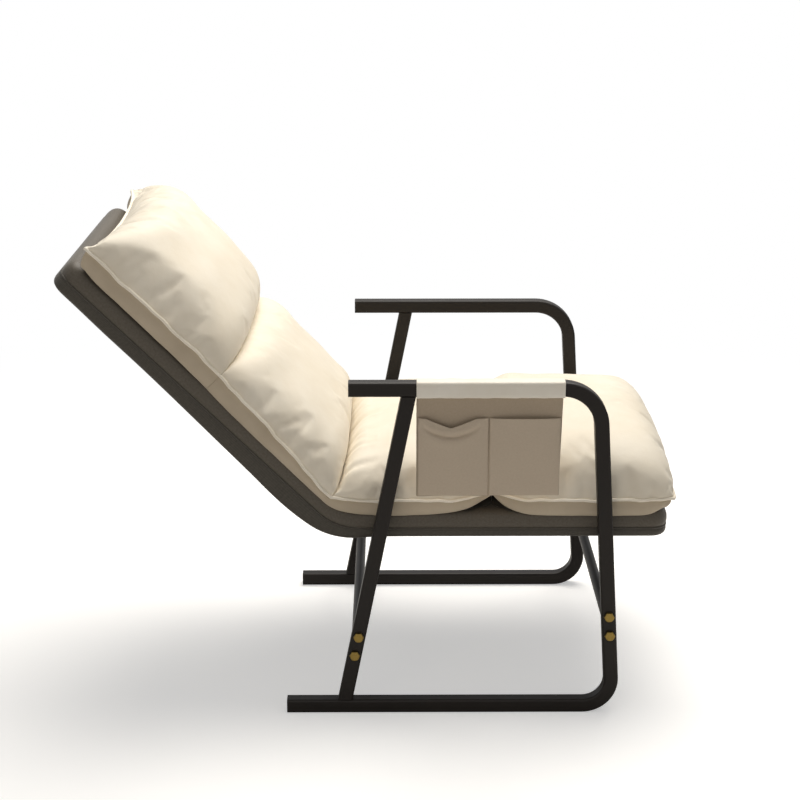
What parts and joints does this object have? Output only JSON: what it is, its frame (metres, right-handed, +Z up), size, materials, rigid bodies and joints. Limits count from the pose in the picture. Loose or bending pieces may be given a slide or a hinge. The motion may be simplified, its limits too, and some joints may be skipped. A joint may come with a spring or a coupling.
{
  "type": "folding reclining chair",
  "caption": "Folding reclining chair with bent square-tube sides, a padded back that reclines on ratchet hinges, a channelled mattress and a pocket on one armrest.",
  "frame": {"origin": "centre of the bounding box on the floor", "axes": "+X the way the chair faces, +Y to the sitter's left, +Z up"},
  "size_m": [1.0588, 0.6028, 0.8724],
  "materials": {
    "frame_paint": "satin black-brown powder coat",
    "bolt_brass": "satin gold",
    "plug_plastic": "matte",
    "inner_steel": "zinc plated",
    "shell_fabric": "close dark grey upholstery cloth",
    "cushion_fabric": "smooth cream technical cloth",
    "sleeve_fabric": "smooth cream cloth",
    "pocket_fabric": "smooth taupe cloth"
  },
  "bodies": {
    "base": {"side_frame_right": "frame_paint", "side_frame_left": "frame_paint", "rear_strut_right": "frame_paint", "rear_strut_left": "frame_paint", "front_crossbar": "frame_paint", "rear_crossbar": "frame_paint", "seat_lugs": "frame_paint", "crossbar_bolts": "bolt_brass", "tube_end_plugs": "plug_plastic", "seat_frame": "inner_steel", "seat_screws": "inner_steel", "seat_hinge_plate_right": "inner_steel", "seat_hinge_plate_left": "inner_steel", "hinge_pins": "inner_steel", "hinge_washers": "inner_steel", "pawl_pins": "inner_steel", "pawl_spring_right": "inner_steel", "pawl_spring_left": "inner_steel", "seat_shell": "shell_fabric", "cover_bend": "shell_fabric", "seat_cushion_rear": "cushion_fabric", "seat_cushion_front": "cushion_fabric", "pocket_sleeve": "sleeve_fabric", "pocket_panel": "pocket_fabric", "pocket_left": "pocket_fabric", "pocket_right": "pocket_fabric"},
    "backrest": {"back_frame": "inner_steel", "back_hinge_plate_right": "inner_steel", "back_hinge_plate_left": "inner_steel", "back_shell": "shell_fabric", "back_cushion": "cushion_fabric", "head_cushion": "cushion_fabric"},
    "pawl_right": {"pawl_right": "inner_steel"},
    "pawl_left": {"pawl_left": "inner_steel"}
  },
  "joints": [
    {"name": "backrest_recline", "type": "hinge", "parent": "base", "child": "backrest", "pos_m": [-0.05817, 0, 0.3465], "axis": [0, -1, 0], "range_deg": [-80, 32], "deforming": ["cover_bend", "seat_cushion_rear", "back_cushion"]},
    {"name": "pawl_lift_right", "type": "hinge", "parent": "base", "child": "pawl_right", "pos_m": [-0.0345, -0.2389, 0.34443], "axis": [0, -1, 0], "range_deg": [0, 9], "stiffness_Nm_per_rad": 0.05, "deforming": ["pawl_spring_right"]},
    {"name": "pawl_lift_left", "type": "hinge", "parent": "base", "child": "pawl_left", "pos_m": [-0.0345, 0.2389, 0.34443], "axis": [0, -1, 0], "range_deg": [0, 9], "stiffness_Nm_per_rad": 0.05, "deforming": ["pawl_spring_left"]}
  ]
}
